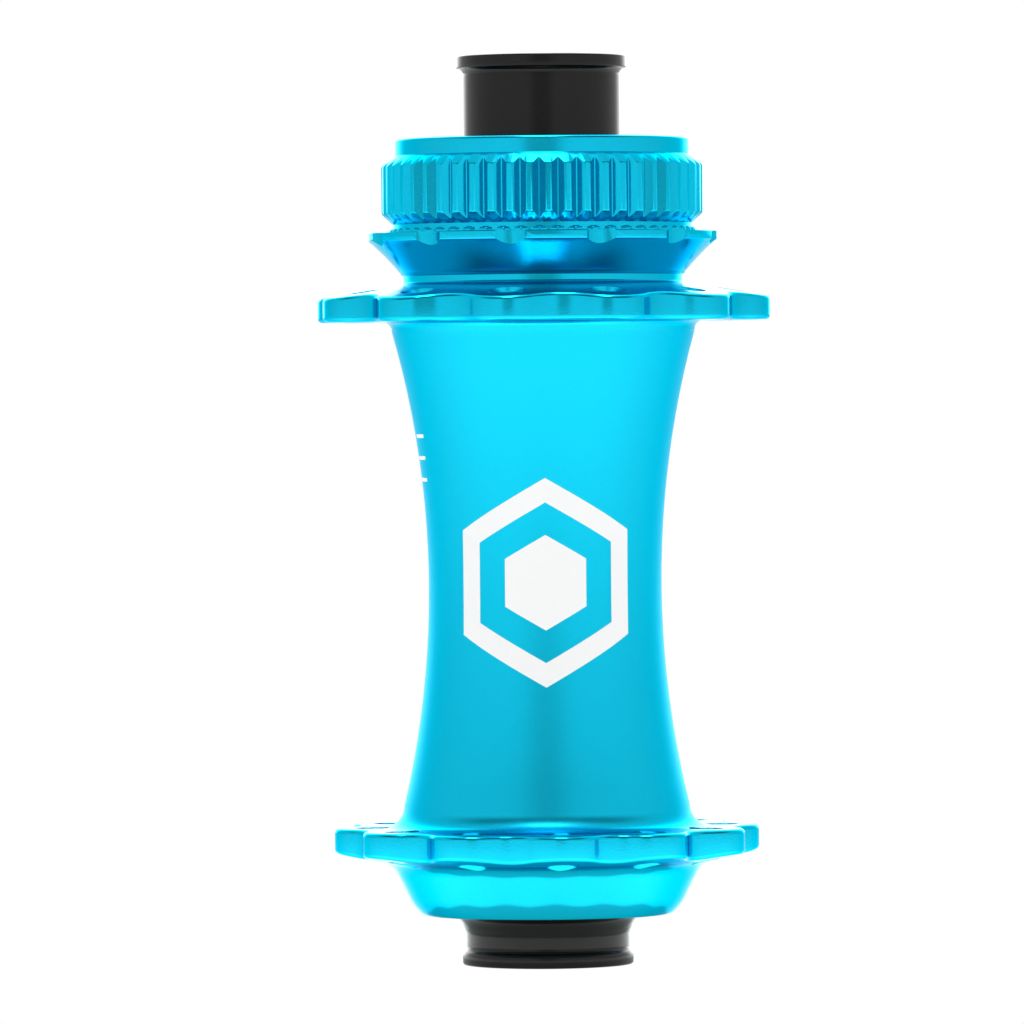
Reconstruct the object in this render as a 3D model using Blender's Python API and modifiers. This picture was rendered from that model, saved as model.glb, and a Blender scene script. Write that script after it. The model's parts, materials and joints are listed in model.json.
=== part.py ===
"""Front bicycle hub for a disc brake and a 12 mm thru-axle.

A one-piece aluminium shell with a splined rotor mount turns on two cartridge bearings. They sit on
a tube axle, and a push-in end cap with an O-ring closes each end. Metres, +Z up: the origin is on
the hub's axis, halfway between the end faces, and +Z points to the rotor side.
"""

import math

import bmesh
import bpy
from mathutils import Matrix, Vector

MM = 0.001  # the sizes below are in millimetres, and meshes are made in metres

# Whole hub
OVER_END_CAPS = 100.0
THRU_AXLE_BORE = 6.05
EDGE = 0.3
FIT_GAP = 0.1

# Facets round a full turn
SHELL_FACETS = 48
SMALL_FACETS = 36
HOLE_FACETS = 8

# Cartridge bearings, 17 x 26 x 5
BEARING_BORE = 8.55
BEARING_OUTSIDE = 12.95
BEARING_HALF_WIDTH = 2.5
ROTOR_BEARING_Z = 30.9
PLAIN_BEARING_Z = -41.4
BALL_COUNT = 14
BALL_RADIUS = 1.19
BALL_CIRCLE = 10.75
GROOVE_RADIUS = 1.34
GROOVE_FLAT = 0.4
INNER_SHOULDER = 9.95
OUTER_SHOULDER = 11.5
SEAL_SEAT = 12.0
SEAL_STEP = 1.7
SEAL_THICKNESS = 0.5
SEAL_CLEARANCE = 0.1
CAGE_INSIDE = 10.3
CAGE_OUTSIDE = 11.2
CAGE_HALF_WIDTH = 1.6
POCKET_RADIUS = 1.4

# Shell, rotor end
SHELL_TOP = 40.9
MOUTH_RADIUS = 15.0
RECESS_FLOOR = 33.6
BAND_RADIUS = 16.27
BAND_BOTTOM = 39.1
SPLINE_COUNT = 52
SPLINE_RADIUS = 17.71
SPLINE_ROOT = 17.0
SPLINE_TOP = 37.9
SPLINE_BOTTOM = 32.7
SPLINE_PHASE = -1.3
GROOVE_ROOT_WIDTH = 0.25
GROOVE_MOUTH_WIDTH = 1.25
RELIEF_RADIUS = 16.5
RELIEF_TOP = 31.5
SEAT_RADIUS = 19.25
SEAT_TOP = 30.6
SEAT_RIM = 0.95
UNDERCUT_RADIUS = 17.8
UNDERCUT_DEPTH = 0.2
NOTCH_RADIUS = 2.5
NECK_RADIUS = 15.47
NECK_TOP = 26.1

# Shell, barrel and plain end
BARREL_ARC = 103.0
WAIST_RADIUS = 12.82
WAIST_Z = -8.2
BARREL_TOP = 19.9
BARREL_BOTTOM = -33.1
BARREL_STEPS = 6
BARREL_BORE = 11.2
BOWL_TOP_RADIUS = 16.2
BOWL_END_RADIUS = 13.9
SHELL_BOTTOM = -44.4

# Spoke flanges
SPOKES_PER_FLANGE = 12
SPOKE_HOLE_RADIUS = 1.25
LOBE_RADIUS = 4.55
LOBE_POINTS = 6
VALLEY_POINTS = 4
VALLEY_DEPTH = 2.27
ROTOR_FLANGE = {
    "name": "rotor_flange",
    "tip_radius": 25.27,
    "hole_circle": 21.0,
    "phase": -10.65,
    "root_radius": 15.5,
    "root_z": 25.0,
    "tip_z": 23.4,
    "inner_z": 20.8,
}
PLAIN_FLANGE = {
    "name": "plain_flange",
    "tip_radius": 23.45,
    "hole_circle": 19.3,
    "phase": ROTOR_FLANGE["phase"] + 180 / SPOKES_PER_FLANGE,
    "root_radius": 16.2,
    "root_z": -38.95,
    "tip_z": -37.5,
    "inner_z": -34.8,
}
BLANK_ALLOWANCE = 0.25

# Axle
AXLE_BORE = 7.5
AXLE_SEAT_RADIUS = 8.45
AXLE_SHOULDER_RADIUS = 9.6
AXLE_SHOULDER_WIDTH = 2.5
AXLE_MIDDLE_RADIUS = 9.0

# End caps
CAP_RIM_RADIUS = 9.4
CAP_RIM_WIDTH = 1.25
CAP_BODY_RADIUS = 8.73
CAP_NECK_RADIUS = 8.95
CAP_TAPER = 1.0
CAP_SKIRT_RADIUS = 9.9
PLAIN_SKIRT_RADIUS = 10.35
SKIRT_WIDTH = 0.9
SKIRT_FLARE = 1.1
STUB_RADIUS = 7.4
STUB_LENGTH = 12.0
RING_DEPTH = 6.0
RING_GROOVE_RADIUS = 6.5
RING_GROOVE_WIDTH = 1.3
RING_SECTION = 0.42
RING_FACETS = 6


def clear_scene():
    for item in list(bpy.data.objects):
        bpy.data.objects.remove(item, do_unlink=True)


def new_collection(name):
    collection = bpy.data.collections.new(name)
    bpy.context.scene.collection.children.link(collection)
    return collection


def new_material(name, colour, roughness, metallic):
    material = bpy.data.materials.new(name)
    material.use_nodes = True
    shader = material.node_tree.nodes["Principled BSDF"]
    shader.inputs["Base Color"].default_value = (*colour, 1.0)
    shader.inputs["Roughness"].default_value = roughness
    shader.inputs["Metallic"].default_value = metallic
    material.diffuse_color = (*colour, 1.0)
    return material


def moving_group(name, height, collection, parent=None):
    """An empty on the hub's axis, for the pieces of one moving body."""
    empty = bpy.data.objects.new(name, None)
    empty.empty_display_size = OVER_END_CAPS / 10 * MM
    empty.location = (0, 0, height * MM)
    collection.objects.link(empty)
    if parent:
        hang(empty, parent)
    return empty


def hang(piece, parent):
    """Parent a piece without moving it; every group is unturned, so only its place matters."""
    bpy.context.view_layer.update()
    piece.parent = parent
    piece.matrix_parent_inverse = parent.matrix_world.inverted()


def add_piece(name, mesh, collection, material=None):
    piece = bpy.data.objects.new(name, mesh)
    if material:
        mesh.materials.clear()
        mesh.materials.append(material)
    collection.objects.link(piece)
    return piece


def turned(name, section, collection, material, facets=SMALL_FACETS, height=0.0):
    """A turned piece: a closed half section at +X, down its outside and up its bore, swept once."""
    mesh = bpy.data.meshes.new(name)
    shape = bmesh.new()
    points = [shape.verts.new((radius * MM, 0, z * MM)) for radius, z in section]
    for here, after in zip(points, points[1:] + points[:1]):
        shape.edges.new((here, after))
    shape.to_mesh(mesh)
    shape.free()
    piece = add_piece(name, mesh, collection, material)
    piece.location = (0, 0, height * MM)
    sweep(piece, facets)
    return piece


def sweep(piece, facets):
    """Sweep a section at +X once round Z."""
    screw = piece.modifiers.new("turn", "SCREW")
    screw.axis = "Z"
    screw.steps = facets
    screw.render_steps = facets
    screw.use_smooth_shade = True
    screw.use_merge_vertices = True
    screw.merge_threshold = 0.00001


def around_axis(count, phase=0.0):
    """Turns about Z, in radians, of pieces spaced evenly from a phase in degrees."""
    return [math.radians(phase) + math.tau * index / count for index in range(count)]


def cutter_from(name, shape, collection):
    mesh = bpy.data.meshes.new(name)
    shape.to_mesh(mesh)
    shape.free()
    cutter = add_piece(name, mesh, collection)
    cutter.hide_render = True
    cutter.display_type = "WIRE"
    return cutter


def cut(piece, cutter):
    boolean = piece.modifiers.new(cutter.name, "BOOLEAN")
    boolean.operation = "DIFFERENCE"
    boolean.solver = "EXACT"
    boolean.object = cutter


def drill_cutter(name, circle, radius, low, high, turns, facets, collection):
    """Upright cylinders on a circle round the axis. A turn of zero is at -Y."""
    shape = bmesh.new()
    for turn in turns:
        place = Vector((circle * math.sin(turn), -circle * math.cos(turn), (low + high) / 2)) * MM
        bmesh.ops.create_cone(
            shape,
            cap_ends=True,
            segments=facets,
            radius1=radius * MM,
            radius2=radius * MM,
            depth=(high - low) * MM,
            matrix=Matrix.Translation(place),
        )
    return cutter_from(name, shape, collection)


def spline_cutter(collection):
    """The V grooves between the teeth of the rotor spline, each a bar with a narrow root."""
    overshoot = 0.5
    mouth_radius = SPLINE_RADIUS + overshoot
    flank = (GROOVE_MOUTH_WIDTH - GROOVE_ROOT_WIDTH) / 2 / (SPLINE_RADIUS - SPLINE_ROOT)
    half_root = GROOVE_ROOT_WIDTH / 2
    half_mouth = GROOVE_MOUTH_WIDTH / 2 + overshoot * flank
    low = (SEAT_TOP + RELIEF_TOP) / 2
    high = SPLINE_TOP + (BAND_BOTTOM - SPLINE_TOP) / 2
    shape = bmesh.new()
    for turn in around_axis(SPLINE_COUNT, SPLINE_PHASE):
        for corner in bmesh.ops.create_cube(shape, size=1)["verts"]:
            side, outward, up = corner.co
            half_width = half_mouth if outward > 0 else half_root
            reach = mouth_radius if outward > 0 else SPLINE_ROOT
            across = math.copysign(half_width, side)
            corner.co = Vector((
                across * math.cos(turn) + reach * math.sin(turn),
                across * math.sin(turn) - reach * math.cos(turn),
                high if up > 0 else low,
            )) * MM
    bmesh.ops.recalc_face_normals(shape, faces=shape.faces)
    return cutter_from("cut_spline_grooves", shape, collection)


def lobed_outline(flange):
    """Points of a flange's edge: a round lobe at each spoke hole, and a hollow between two lobes."""
    lobe_circle = flange["tip_radius"] - LOBE_RADIUS
    valley_floor = flange["tip_radius"] - VALLEY_DEPTH
    half_pitch = math.pi / SPOKES_PER_FLANGE
    reach = valley_floor - lobe_circle * math.cos(half_pitch)
    half_gap = lobe_circle * math.sin(half_pitch)
    valley_radius = (reach**2 + half_gap**2 - LOBE_RADIUS**2) / (2 * (LOBE_RADIUS - reach))
    valley_circle = valley_floor + valley_radius
    lean = math.atan2(half_gap, valley_circle - lobe_circle * math.cos(half_pitch))
    outline = []
    for turn in around_axis(SPOKES_PER_FLANGE, flange["phase"]):
        for step in range(LOBE_POINTS):
            angle = (2 * step / (LOBE_POINTS - 1) - 1) * (half_pitch + lean)
            outline.append(polar(turn, lobe_circle, LOBE_RADIUS, angle))
        for step in range(1, VALLEY_POINTS):
            angle = math.pi + (1 - 2 * step / VALLEY_POINTS) * lean
            outline.append(polar(turn + half_pitch, valley_circle, valley_radius, angle))
    return outline


def polar(turn, circle, radius, angle):
    """A point of a small circle that is centred on a circle round the axis."""
    return Vector((
        circle * math.sin(turn) + radius * math.sin(turn + angle),
        -circle * math.cos(turn) - radius * math.cos(turn + angle),
        0,
    )) * MM


def trim_cutter(flange, collection):
    """A plate with a lobed hole, which trims a round flange blank to its lobes."""
    name = "cut_" + flange["name"] + "_outline"
    margin = 4.0
    round_edge = flange["tip_radius"] + margin
    corner_count = 24
    corners = [polar(turn, 0, round_edge, 0) for turn in around_axis(corner_count)]
    curve = bpy.data.curves.new(name, "CURVE")
    curve.dimensions = "2D"
    curve.fill_mode = "BOTH"
    for points in (corners, lobed_outline(flange)):
        spline = curve.splines.new("POLY")
        spline.points.add(len(points) - 1)
        for point, place in zip(spline.points, points):
            point.co = (*place, 1)
        spline.use_cyclic_u = True
    low = min(flange["inner_z"], flange["root_z"])
    high = max(flange["inner_z"], flange["root_z"])
    curve.extrude = (high - low + EDGE) / 2 * MM
    plate = bpy.data.objects.new(name + "_curve", curve)
    collection.objects.link(plate)
    plate.location = (0, 0, (low + high) / 2 * MM)
    return cutter_from(name, welded_shape(plate), collection)


def welded_shape(curve_object):
    """The mesh of a curve object with its caps welded on, in world space. The curve is removed."""
    bpy.context.view_layer.update()
    evaluated = curve_object.evaluated_get(bpy.context.evaluated_depsgraph_get())
    mesh = bpy.data.meshes.new_from_object(evaluated)
    shape = bmesh.new()
    shape.from_mesh(mesh)
    shape.transform(curve_object.matrix_world)
    bmesh.ops.remove_doubles(shape, verts=shape.verts, dist=0.000001)
    bmesh.ops.recalc_face_normals(shape, faces=shape.faces)
    bpy.data.meshes.remove(mesh)
    bpy.data.objects.remove(curve_object, do_unlink=True)
    return shape


def barrel_radius(z):
    """The waisted barrel is one large arc."""
    return WAIST_RADIUS + BARREL_ARC - math.sqrt(BARREL_ARC**2 - (z - WAIST_Z) ** 2)


def shell_section():
    blank_rotor = ROTOR_FLANGE["tip_radius"] + BLANK_ALLOWANCE
    blank_plain = PLAIN_FLANGE["tip_radius"] + BLANK_ALLOWANCE
    fillet_top = ROTOR_FLANGE["inner_z"] - BARREL_TOP
    fillet_bottom = BARREL_BOTTOM - PLAIN_FLANGE["inner_z"]
    bearing_reach = BEARING_HALF_WIDTH + FIT_GAP
    bearing_seat = BEARING_OUTSIDE + FIT_GAP
    rotor_end = [
        (BAND_RADIUS - EDGE, SHELL_TOP),
        (BAND_RADIUS, SHELL_TOP - EDGE),
        (BAND_RADIUS, BAND_BOTTOM),
        (SPLINE_RADIUS, SPLINE_TOP),
        (SPLINE_RADIUS, SPLINE_BOTTOM),
        (RELIEF_RADIUS, RELIEF_TOP),
        (RELIEF_RADIUS, SEAT_TOP - UNDERCUT_DEPTH),
        (UNDERCUT_RADIUS, SEAT_TOP - UNDERCUT_DEPTH),
        (UNDERCUT_RADIUS, SEAT_TOP),
        (SEAT_RADIUS, SEAT_TOP),
        (SEAT_RADIUS, SEAT_TOP - SEAT_RIM),
        (NECK_RADIUS + EDGE, NECK_TOP),
        (NECK_RADIUS, NECK_TOP - EDGE),
    ]
    flange_and_barrel = [
        (ROTOR_FLANGE["root_radius"], ROTOR_FLANGE["root_z"]),
        (blank_rotor, ROTOR_FLANGE["tip_z"]),
        (blank_rotor, ROTOR_FLANGE["inner_z"]),
        (barrel_radius(BARREL_TOP) + fillet_top, ROTOR_FLANGE["inner_z"]),
    ]
    for step in range(BARREL_STEPS + 1):
        z = BARREL_TOP + (BARREL_BOTTOM - BARREL_TOP) * step / BARREL_STEPS
        flange_and_barrel.append((barrel_radius(z), z))
    plain_end = [
        (barrel_radius(BARREL_BOTTOM) + fillet_bottom, PLAIN_FLANGE["inner_z"]),
        (blank_plain, PLAIN_FLANGE["inner_z"]),
        (blank_plain, PLAIN_FLANGE["tip_z"]),
        (BOWL_TOP_RADIUS, PLAIN_FLANGE["root_z"]),
        (BOWL_END_RADIUS, SHELL_BOTTOM + EDGE),
        (BOWL_END_RADIUS - EDGE, SHELL_BOTTOM),
    ]
    bore = [
        (bearing_seat, SHELL_BOTTOM),
        (bearing_seat, PLAIN_BEARING_Z + bearing_reach),
        (BARREL_BORE, PLAIN_BEARING_Z + bearing_reach),
        (BARREL_BORE, ROTOR_BEARING_Z - bearing_reach),
        (bearing_seat, ROTOR_BEARING_Z - bearing_reach),
        (bearing_seat, RECESS_FLOOR),
        (MOUTH_RADIUS, RECESS_FLOOR),
        (MOUTH_RADIUS, SHELL_TOP - EDGE),
        (MOUTH_RADIUS + EDGE, SHELL_TOP),
    ]
    return rotor_end + flange_and_barrel + plain_end + bore


def make_shell(parts, cutters, material):
    shell = turned("hub_shell", shell_section(), parts, material, SHELL_FACETS)
    cut(shell, spline_cutter(cutters))
    notch_turns = around_axis(SPOKES_PER_FLANGE, ROTOR_FLANGE["phase"])
    notch_low = (NECK_TOP + ROTOR_FLANGE["root_z"]) / 2
    notch_high = (SEAT_TOP + RELIEF_TOP) / 2
    notches = drill_cutter("cut_seat_notches", ROTOR_FLANGE["hole_circle"], NOTCH_RADIUS,
                           notch_low, notch_high, notch_turns, HOLE_FACETS * 2, cutters)
    cut(shell, notches)
    for flange in (ROTOR_FLANGE, PLAIN_FLANGE):
        cut(shell, trim_cutter(flange, cutters))
        turns = around_axis(SPOKES_PER_FLANGE, flange["phase"])
        low = min(flange["inner_z"], flange["root_z"]) - EDGE
        high = max(flange["inner_z"], flange["root_z"]) + EDGE
        holes = drill_cutter("cut_" + flange["name"] + "_holes", flange["hole_circle"],
                             SPOKE_HOLE_RADIUS, low, high, turns, HOLE_FACETS, cutters)
        cut(shell, holes)
    return shell


def make_axle(parts, material):
    """A tube with a ground seat at each end and a shoulder behind each bearing."""
    end = BEARING_HALF_WIDTH - 2 * FIT_GAP
    back = BEARING_HALF_WIDTH + FIT_GAP
    top = ROTOR_BEARING_Z + end
    bottom = PLAIN_BEARING_Z - end
    section = [
        (AXLE_SEAT_RADIUS, top),
        (AXLE_SEAT_RADIUS, ROTOR_BEARING_Z - back),
        (AXLE_SHOULDER_RADIUS, ROTOR_BEARING_Z - back),
        (AXLE_SHOULDER_RADIUS, ROTOR_BEARING_Z - back - AXLE_SHOULDER_WIDTH),
        (AXLE_MIDDLE_RADIUS, ROTOR_BEARING_Z - back - 1.5 * AXLE_SHOULDER_WIDTH),
        (AXLE_MIDDLE_RADIUS, PLAIN_BEARING_Z + back + 1.5 * AXLE_SHOULDER_WIDTH),
        (AXLE_SHOULDER_RADIUS, PLAIN_BEARING_Z + back + AXLE_SHOULDER_WIDTH),
        (AXLE_SHOULDER_RADIUS, PLAIN_BEARING_Z + back),
        (AXLE_SEAT_RADIUS, PLAIN_BEARING_Z + back),
        (AXLE_SEAT_RADIUS, bottom),
        (AXLE_BORE, bottom),
        (AXLE_BORE, top),
    ]
    return turned("axle", section, parts, material)


def cap_stub(face, inward):
    """The stub of an end cap, from its shoulder to its tip, with the O-ring's groove."""
    groove = face + inward * RING_DEPTH
    half_groove = inward * RING_GROOVE_WIDTH / 2
    tip = face + inward * STUB_LENGTH
    return [
        (STUB_RADIUS, face),
        (STUB_RADIUS, groove - half_groove),
        (RING_GROOVE_RADIUS, groove - half_groove),
        (RING_GROOVE_RADIUS, groove + half_groove),
        (STUB_RADIUS, groove + half_groove),
        (STUB_RADIUS, tip - inward * EDGE),
        (STUB_RADIUS - EDGE, tip),
        (THRU_AXLE_BORE, tip),
    ]


def rotor_cap_face():
    return ROTOR_BEARING_Z + BEARING_HALF_WIDTH + FIT_GAP


def plain_cap_face():
    return PLAIN_BEARING_Z - BEARING_HALF_WIDTH - FIT_GAP


def make_rotor_cap(parts, material):
    end = OVER_END_CAPS / 2
    face = rotor_cap_face()
    outside = [
        (CAP_RIM_RADIUS - EDGE, end),
        (CAP_RIM_RADIUS, end - EDGE),
        (CAP_RIM_RADIUS, end - CAP_RIM_WIDTH),
        (CAP_BODY_RADIUS, end - CAP_RIM_WIDTH - CAP_TAPER),
        (CAP_BODY_RADIUS, face + SKIRT_WIDTH + SKIRT_FLARE),
        (CAP_SKIRT_RADIUS, face + SKIRT_WIDTH),
        (CAP_SKIRT_RADIUS, face),
    ]
    mouth = [(THRU_AXLE_BORE, end - EDGE), (THRU_AXLE_BORE + EDGE, end)]
    section = outside + cap_stub(face, -1) + mouth
    return turned("end_cap_rotor_side", section, parts, material)


def make_plain_cap(parts, material):
    end = -OVER_END_CAPS / 2
    face = plain_cap_face()
    mouth = [(THRU_AXLE_BORE + EDGE, end), (THRU_AXLE_BORE, end + EDGE)]
    stub = cap_stub(face, 1)
    outside = [
        (PLAIN_SKIRT_RADIUS, face),
        (PLAIN_SKIRT_RADIUS, face - SKIRT_WIDTH),
        (CAP_RIM_RADIUS, face - SKIRT_WIDTH - SKIRT_FLARE / 2),
        (CAP_NECK_RADIUS, face - SKIRT_WIDTH - 1.5 * SKIRT_FLARE),
        (CAP_NECK_RADIUS, end + CAP_RIM_WIDTH + CAP_TAPER / 2),
        (CAP_RIM_RADIUS, end + CAP_RIM_WIDTH),
        (CAP_RIM_RADIUS, end + EDGE),
        (CAP_RIM_RADIUS - EDGE, end),
    ]
    section = outside + mouth + stub[::-1]
    return turned("end_cap_plain_side", section, parts, material)


def make_o_ring(name, height, parts, material):
    shape = bmesh.new()
    centre = RING_GROOVE_RADIUS + FIT_GAP / 2 + RING_SECTION
    circle = bmesh.ops.create_circle(shape, segments=RING_FACETS, radius=RING_SECTION * MM)
    upright = Matrix.Translation((centre * MM, 0, 0)) @ Matrix.Rotation(math.pi / 2, 4, "X")
    bmesh.ops.transform(shape, matrix=upright, verts=circle["verts"])
    mesh = bpy.data.meshes.new(name)
    shape.to_mesh(mesh)
    shape.free()
    ring = add_piece(name, mesh, parts, material)
    ring.location = (0, 0, height * MM)
    sweep(ring, SMALL_FACETS)
    return ring


def groove_half_width(shoulder):
    return math.sqrt(GROOVE_RADIUS**2 - (shoulder - BALL_CIRCLE) ** 2)


def groove_root(outward):
    return BALL_CIRCLE + outward * math.sqrt(GROOVE_RADIUS**2 - GROOVE_FLAT**2)


def inner_race_section():
    groove = groove_half_width(INNER_SHOULDER)
    return [
        (INNER_SHOULDER, BEARING_HALF_WIDTH),
        (INNER_SHOULDER, groove),
        (groove_root(-1), GROOVE_FLAT),
        (groove_root(-1), -GROOVE_FLAT),
        (INNER_SHOULDER, -groove),
        (INNER_SHOULDER, -BEARING_HALF_WIDTH),
        (BEARING_BORE, -BEARING_HALF_WIDTH),
        (BEARING_BORE, BEARING_HALF_WIDTH),
    ]


def outer_race_section():
    groove = groove_half_width(OUTER_SHOULDER)
    return [
        (BEARING_OUTSIDE, BEARING_HALF_WIDTH),
        (BEARING_OUTSIDE, -BEARING_HALF_WIDTH),
        (SEAL_SEAT, -BEARING_HALF_WIDTH),
        (SEAL_SEAT, -SEAL_STEP),
        (OUTER_SHOULDER, -SEAL_STEP),
        (OUTER_SHOULDER, -groove),
        (groove_root(1), -GROOVE_FLAT),
        (groove_root(1), GROOVE_FLAT),
        (OUTER_SHOULDER, groove),
        (OUTER_SHOULDER, SEAL_STEP),
        (SEAL_SEAT, SEAL_STEP),
        (SEAL_SEAT, BEARING_HALF_WIDTH),
    ]


def ring_section(inside, outside, low, high):
    return [(outside, high), (outside, low), (inside, low), (inside, high)]


def pocket_cutter(name, height, collection):
    """Round pockets through the cage, one for each ball, lying along the radius."""
    shape = bmesh.new()
    length = (CAGE_OUTSIDE - CAGE_INSIDE) * 2
    for turn in around_axis(BALL_COUNT):
        lying = Matrix.Rotation(turn, 4, "Z") @ Matrix.Rotation(math.pi / 2, 4, "X")
        place = Vector((BALL_CIRCLE * math.sin(turn), -BALL_CIRCLE * math.cos(turn), height)) * MM
        bmesh.ops.create_cone(
            shape,
            cap_ends=True,
            segments=HOLE_FACETS,
            radius1=POCKET_RADIUS * MM,
            radius2=POCKET_RADIUS * MM,
            depth=length * MM,
            matrix=Matrix.Translation(place) @ lying,
        )
    return cutter_from(name, shape, collection)


def make_bearing(side, height, parts, cutters, materials, groups):
    """One cartridge bearing: two races, two seals, and a cage that carries the balls."""
    inner = turned("inner_race_" + side, inner_race_section(), parts, materials["steel"],
                   height=height)
    hang(inner, groups["axle"])
    outer = turned("outer_race_" + side, outer_race_section(), parts, materials["steel"],
                   height=height)
    hang(outer, groups["shell"])
    seal_low = SEAL_STEP + SEAL_CLEARANCE / 2
    upper = ring_section(INNER_SHOULDER + SEAL_CLEARANCE, SEAL_SEAT - SEAL_CLEARANCE,
                         seal_low, seal_low + SEAL_THICKNESS)
    lower = ring_section(INNER_SHOULDER + SEAL_CLEARANCE, SEAL_SEAT - SEAL_CLEARANCE,
                         -seal_low - SEAL_THICKNESS, -seal_low)
    outward, inward = (upper, lower) if height > 0 else (lower, upper)
    for place, section in (("outer", outward), ("inner", inward)):
        seal = turned(f"seal_{side}_{place}", section, parts, materials["rubber"], height=height)
        hang(seal, groups["shell"])
    carrier = moving_group("cage_group_" + side, height, parts, groups["axle"])
    cage_section = ring_section(CAGE_INSIDE, CAGE_OUTSIDE, -CAGE_HALF_WIDTH, CAGE_HALF_WIDTH)
    cage = turned("ball_cage_" + side, cage_section, parts, materials["plastic"], height=height)
    cut(cage, pocket_cutter("cut_pockets_" + side, height, cutters))
    hang(cage, carrier)
    for number, turn in enumerate(around_axis(BALL_COUNT), start=1):
        ball = add_piece(f"ball_{side}_{number:02d}", groups["ball_mesh"], parts)
        ball.location = polar(turn, 0, BALL_CIRCLE, 0) + Vector((0, 0, height)) * MM
        hang(ball, carrier)


def make_ball_mesh(material):
    mesh = bpy.data.meshes.new("bearing_ball")
    shape = bmesh.new()
    bmesh.ops.create_icosphere(shape, subdivisions=2, radius=BALL_RADIUS * MM)
    shape.to_mesh(mesh)
    shape.free()
    mesh.materials.append(material)
    return mesh


def build_hub():
    clear_scene()
    parts = new_collection("front_hub")
    cutters = new_collection("front_hub_cutters")
    materials = {
        "blue": new_material("anodised_blue", (0.0, 0.42, 0.65), 0.28, 1.0),
        "black": new_material("anodised_black", (0.012, 0.012, 0.013), 0.3, 0.9),
        "aluminium": new_material("machined_aluminium", (0.78, 0.79, 0.80), 0.3, 1.0),
        "steel": new_material("bearing_steel", (0.62, 0.62, 0.63), 0.18, 1.0),
        "rubber": new_material("seal_rubber", (0.015, 0.015, 0.016), 0.6, 0.0),
        "plastic": new_material("cage_plastic", (0.55, 0.50, 0.38), 0.5, 0.0),
    }
    plain_cap_group = moving_group("plain_cap_group", plain_cap_face(), parts)
    axle_group = moving_group("axle_group", 0.0, parts, plain_cap_group)
    groups = {
        "plain_cap": plain_cap_group,
        "axle": axle_group,
        "shell": moving_group("shell_group", 0.0, parts, axle_group),
        "rotor_cap": moving_group("rotor_cap_group", rotor_cap_face(), parts, axle_group),
        "ball_mesh": make_ball_mesh(materials["steel"]),
    }
    hang(make_shell(parts, cutters, materials["blue"]), groups["shell"])
    hang(make_axle(parts, materials["aluminium"]), groups["axle"])
    hang(make_rotor_cap(parts, materials["black"]), groups["rotor_cap"])
    hang(make_plain_cap(parts, materials["black"]), groups["plain_cap"])
    rings = (
        ("o_ring_rotor_side", rotor_cap_face() - RING_DEPTH, "rotor_cap"),
        ("o_ring_plain_side", plain_cap_face() + RING_DEPTH, "plain_cap"),
    )
    for name, height, group in rings:
        hang(make_o_ring(name, height, parts, materials["rubber"]), groups[group])
    make_bearing("rotor_side", ROTOR_BEARING_Z, parts, cutters, materials, groups)
    make_bearing("plain_side", PLAIN_BEARING_Z, parts, cutters, materials, groups)


build_hub()
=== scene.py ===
"""Looks of a front bicycle hub: an anodised shell, two black end caps, an axle and two bearings."""

import json
import math

import bpy
from mathutils import Matrix, Vector


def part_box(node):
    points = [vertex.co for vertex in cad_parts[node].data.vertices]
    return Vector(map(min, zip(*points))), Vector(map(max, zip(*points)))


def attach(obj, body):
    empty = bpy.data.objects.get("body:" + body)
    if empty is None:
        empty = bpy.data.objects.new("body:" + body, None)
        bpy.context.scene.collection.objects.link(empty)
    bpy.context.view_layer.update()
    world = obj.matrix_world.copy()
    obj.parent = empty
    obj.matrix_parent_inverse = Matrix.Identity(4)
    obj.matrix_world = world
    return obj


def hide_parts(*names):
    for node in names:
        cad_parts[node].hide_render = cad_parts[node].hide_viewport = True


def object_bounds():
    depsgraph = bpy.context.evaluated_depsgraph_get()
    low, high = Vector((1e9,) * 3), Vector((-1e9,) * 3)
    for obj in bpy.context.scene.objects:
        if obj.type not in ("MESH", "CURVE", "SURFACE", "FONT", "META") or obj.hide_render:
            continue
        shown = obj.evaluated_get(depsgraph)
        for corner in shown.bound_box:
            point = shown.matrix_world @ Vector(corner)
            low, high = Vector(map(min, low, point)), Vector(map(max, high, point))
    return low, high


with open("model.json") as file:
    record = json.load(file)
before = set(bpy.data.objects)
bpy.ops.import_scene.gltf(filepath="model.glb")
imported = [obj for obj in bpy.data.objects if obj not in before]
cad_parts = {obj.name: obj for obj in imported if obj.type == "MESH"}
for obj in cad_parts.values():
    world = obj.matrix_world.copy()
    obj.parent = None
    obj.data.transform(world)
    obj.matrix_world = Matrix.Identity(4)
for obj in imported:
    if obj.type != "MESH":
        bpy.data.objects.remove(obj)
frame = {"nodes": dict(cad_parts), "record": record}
cad_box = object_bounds()
bpy.ops.object.select_all(action="DESELECT")


# ---------------------------------------------------------------------------------------------
# Studio. The hub stands on its plain-side cap on a white table that runs into a white backdrop.
# The camera stands a metre off, a little above the middle of the barrel.

MM = 0.001  # sizes are written in millimetres
TABLE_WIDTH = 6.0  # in metres
TABLE_GAP = 0.02
# Size of the flange's painted shadow on the table, in millimetres.
SHADOW_RADIUS = 18.9
SHADOW_LOBE = 0.6
SHADOW_EDGE = 1.6
# Strength of the table's painted glow.
TABLE_GLOW = 1.15
WARM_WHITE = (1.0, 1.0, 0.87)

scene = bpy.context.scene
scene.view_settings.view_transform = "Standard"


def add_node(tree, kind, **settings):
    """A new node with its settings."""
    node = tree.nodes.new(kind)
    for name, value in settings.items():
        setattr(node, name, value)
    return node


def maths(tree, operation, *values):
    """A Math node. Each value is a number or another node's output."""
    node = add_node(tree, "ShaderNodeMath", operation=operation)
    for socket, value in zip(node.inputs, values):
        if isinstance(value, (int, float)):
            socket.default_value = value
        else:
            tree.links.new(value, socket)
    return node.outputs[0]


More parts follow.
